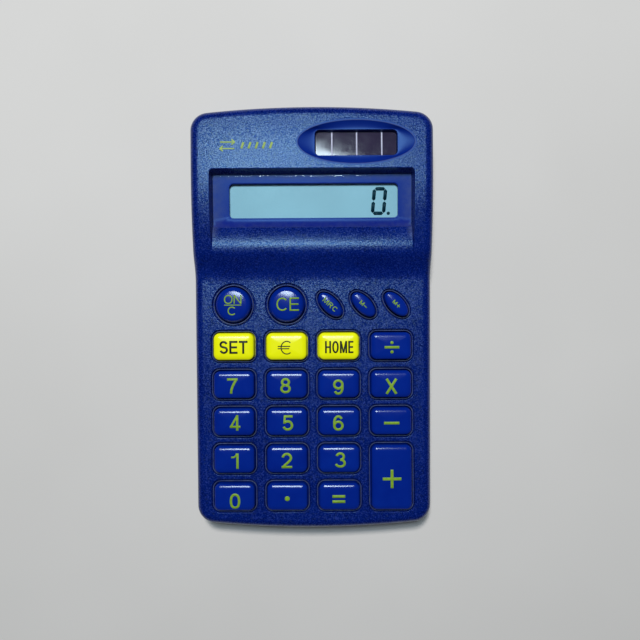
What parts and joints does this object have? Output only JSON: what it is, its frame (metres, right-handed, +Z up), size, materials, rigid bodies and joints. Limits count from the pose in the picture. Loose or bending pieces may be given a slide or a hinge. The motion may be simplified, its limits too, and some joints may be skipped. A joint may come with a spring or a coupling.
{
  "type": "pocket calculator",
  "caption": "Blue pocket calculator with a sunken liquid crystal display, a solar cell, travelling keys and a sliding battery door.",
  "frame": {"origin": "centre of the flat resting face under the bottom cover, on the mid-plane of the body", "axes": "+Z up out of the keys, +Y towards the display end, +X to the right of someone using it"},
  "size_m": [0.0678, 0.1184, 0.016],
  "materials": {
    "shell": "fine moulded grain, dark blue",
    "blue_key": "glossy blue, moulded",
    "yellow_key": "glossy yellow, moulded",
    "lens": "clear polished acrylic",
    "polarizer": "grey-green film",
    "display_glass": "clear glass sandwich",
    "reflector": "satin reflecting film",
    "holder": "off-white moulded frame",
    "silicone": "matt grey silicone",
    "solar": "dark glass with printed dividers",
    "red_wire": "red insulation",
    "black_wire": "black insulation",
    "board": "phenolic paper board",
    "epoxy": "black cast resin",
    "resistor": "lacquered, colour banded",
    "nickel": "nickel-plated steel",
    "steel": "zinc-plated steel"
  },
  "bodies": {
    "case": {"top_cover": "shell", "bottom_cover": "shell", "display_lens": "lens", "lcd_front_polarizer": "polarizer", "lcd_cell": "display_glass", "lcd_reflector": "reflector", "lcd_holder": "holder", "contact_strip": "silicone", "solar_cell": "solar", "solar_lead_red": "red_wire", "solar_lead_black": "black_wire", "battery_lead_red": "red_wire", "circuit_board": "board", "keypad_membrane": "silicone", "chip_cover": "epoxy", "smoothing_capacitor": "epoxy", "timing_resistor": "resistor", "limiter_diode": "epoxy", "button_cell": "nickel", "battery_contact_positive": "nickel", "battery_contact_negative": "nickel", "case_screw_1": "steel", "case_screw_2": "steel", "case_screw_3": "steel", "case_screw_4": "steel", "case_screw_5": "steel", "case_screw_6": "steel", "board_screw_1": "steel", "board_screw_2": "steel", "board_screw_3": "steel", "board_screw_4": "steel"},
    "battery_door": {"battery_door": "shell"},
    "key_on_clear": {"key_on_clear": "blue_key"},
    "key_clear_entry": {"key_clear_entry": "blue_key"},
    "key_memory_recall": {"key_memory_recall": "blue_key"},
    "key_memory_minus": {"key_memory_minus": "blue_key"},
    "key_memory_plus": {"key_memory_plus": "blue_key"},
    "key_set": {"key_set": "yellow_key"},
    "key_foreign": {"key_foreign": "yellow_key"},
    "key_home": {"key_home": "yellow_key"},
    "key_divide": {"key_divide": "blue_key"},
    "key_7": {"key_7": "blue_key"},
    "key_8": {"key_8": "blue_key"},
    "key_9": {"key_9": "blue_key"},
    "key_multiply": {"key_multiply": "blue_key"},
    "key_4": {"key_4": "blue_key"},
    "key_5": {"key_5": "blue_key"},
    "key_6": {"key_6": "blue_key"},
    "key_subtract": {"key_subtract": "blue_key"},
    "key_1": {"key_1": "blue_key"},
    "key_2": {"key_2": "blue_key"},
    "key_3": {"key_3": "blue_key"},
    "key_0": {"key_0": "blue_key"},
    "key_point": {"key_point": "blue_key"},
    "key_equals": {"key_equals": "blue_key"},
    "key_add": {"key_add": "blue_key"}
  },
  "joints": [
    {"name": "key_on_clear_press", "type": "slide", "parent": "case", "child": "key_on_clear", "axis": [0, 0, -1], "range_m": [0, 0.0012], "stiffness_N_per_m": 120, "springref_m": -0.0004, "deforming": ["keypad_membrane"]},
    {"name": "key_clear_entry_press", "type": "slide", "parent": "case", "child": "key_clear_entry", "axis": [0, 0, -1], "range_m": [0, 0.0012], "stiffness_N_per_m": 120, "springref_m": -0.0004, "deforming": ["keypad_membrane"]},
    {"name": "key_memory_recall_press", "type": "slide", "parent": "case", "child": "key_memory_recall", "axis": [0, 0, -1], "range_m": [0, 0.0012], "stiffness_N_per_m": 120, "springref_m": -0.0004, "deforming": ["keypad_membrane"]},
    {"name": "key_memory_minus_press", "type": "slide", "parent": "case", "child": "key_memory_minus", "axis": [0, 0, -1], "range_m": [0, 0.0012], "stiffness_N_per_m": 120, "springref_m": -0.0004, "deforming": ["keypad_membrane"]},
    {"name": "key_memory_plus_press", "type": "slide", "parent": "case", "child": "key_memory_plus", "axis": [0, 0, -1], "range_m": [0, 0.0012], "stiffness_N_per_m": 120, "springref_m": -0.0004, "deforming": ["keypad_membrane"]},
    {"name": "key_set_press", "type": "slide", "parent": "case", "child": "key_set", "axis": [0, 0, -1], "range_m": [0, 0.0012], "stiffness_N_per_m": 120, "springref_m": -0.0004, "deforming": ["keypad_membrane"]},
    {"name": "key_foreign_press", "type": "slide", "parent": "case", "child": "key_foreign", "axis": [0, 0, -1], "range_m": [0, 0.0012], "stiffness_N_per_m": 120, "springref_m": -0.0004, "deforming": ["keypad_membrane"]},
    {"name": "key_home_press", "type": "slide", "parent": "case", "child": "key_home", "axis": [0, 0, -1], "range_m": [0, 0.0012], "stiffness_N_per_m": 120, "springref_m": -0.0004, "deforming": ["keypad_membrane"]},
    {"name": "key_divide_press", "type": "slide", "parent": "case", "child": "key_divide", "axis": [0, 0, -1], "range_m": [0, 0.0012], "stiffness_N_per_m": 120, "springref_m": -0.0004, "deforming": ["keypad_membrane"]},
    {"name": "key_7_press", "type": "slide", "parent": "case", "child": "key_7", "axis": [0, 0, -1], "range_m": [0, 0.0012], "stiffness_N_per_m": 120, "springref_m": -0.0004, "deforming": ["keypad_membrane"]},
    {"name": "key_8_press", "type": "slide", "parent": "case", "child": "key_8", "axis": [0, 0, -1], "range_m": [0, 0.0012], "stiffness_N_per_m": 120, "springref_m": -0.0004, "deforming": ["keypad_membrane"]},
    {"name": "key_9_press", "type": "slide", "parent": "case", "child": "key_9", "axis": [0, 0, -1], "range_m": [0, 0.0012], "stiffness_N_per_m": 120, "springref_m": -0.0004, "deforming": ["keypad_membrane"]},
    {"name": "key_multiply_press", "type": "slide", "parent": "case", "child": "key_multiply", "axis": [0, 0, -1], "range_m": [0, 0.0012], "stiffness_N_per_m": 120, "springref_m": -0.0004, "deforming": ["keypad_membrane"]},
    {"name": "key_4_press", "type": "slide", "parent": "case", "child": "key_4", "axis": [0, 0, -1], "range_m": [0, 0.0012], "stiffness_N_per_m": 120, "springref_m": -0.0004, "deforming": ["keypad_membrane"]},
    {"name": "key_5_press", "type": "slide", "parent": "case", "child": "key_5", "axis": [0, 0, -1], "range_m": [0, 0.0012], "stiffness_N_per_m": 120, "springref_m": -0.0004, "deforming": ["keypad_membrane"]},
    {"name": "key_6_press", "type": "slide", "parent": "case", "child": "key_6", "axis": [0, 0, -1], "range_m": [0, 0.0012], "stiffness_N_per_m": 120, "springref_m": -0.0004, "deforming": ["keypad_membrane"]},
    {"name": "key_subtract_press", "type": "slide", "parent": "case", "child": "key_subtract", "axis": [0, 0, -1], "range_m": [0, 0.0012], "stiffness_N_per_m": 120, "springref_m": -0.0004, "deforming": ["keypad_membrane"]},
    {"name": "key_1_press", "type": "slide", "parent": "case", "child": "key_1", "axis": [0, 0, -1], "range_m": [0, 0.0012], "stiffness_N_per_m": 120, "springref_m": -0.0004, "deforming": ["keypad_membrane"]},
    {"name": "key_2_press", "type": "slide", "parent": "case", "child": "key_2", "axis": [0, 0, -1], "range_m": [0, 0.0012], "stiffness_N_per_m": 120, "springref_m": -0.0004, "deforming": ["keypad_membrane"]},
    {"name": "key_3_press", "type": "slide", "parent": "case", "child": "key_3", "axis": [0, 0, -1], "range_m": [0, 0.0012], "stiffness_N_per_m": 120, "springref_m": -0.0004, "deforming": ["keypad_membrane"]},
    {"name": "key_0_press", "type": "slide", "parent": "case", "child": "key_0", "axis": [0, 0, -1], "range_m": [0, 0.0012], "stiffness_N_per_m": 120, "springref_m": -0.0004, "deforming": ["keypad_membrane"]},
    {"name": "key_point_press", "type": "slide", "parent": "case", "child": "key_point", "axis": [0, 0, -1], "range_m": [0, 0.0012], "stiffness_N_per_m": 120, "springref_m": -0.0004, "deforming": ["keypad_membrane"]},
    {"name": "key_equals_press", "type": "slide", "parent": "case", "child": "key_equals", "axis": [0, 0, -1], "range_m": [0, 0.0012], "stiffness_N_per_m": 120, "springref_m": -0.0004, "deforming": ["keypad_membrane"]},
    {"name": "key_add_press", "type": "slide", "parent": "case", "child": "key_add", "axis": [0, 0, -1], "range_m": [0, 0.0012], "stiffness_N_per_m": 120, "springref_m": -0.0004, "deforming": ["keypad_membrane"]},
    {"name": "battery_door_slide", "type": "slide", "parent": "case", "child": "battery_door", "axis": [0, 1, 0], "range_m": [0, 0.022]}
  ]
}
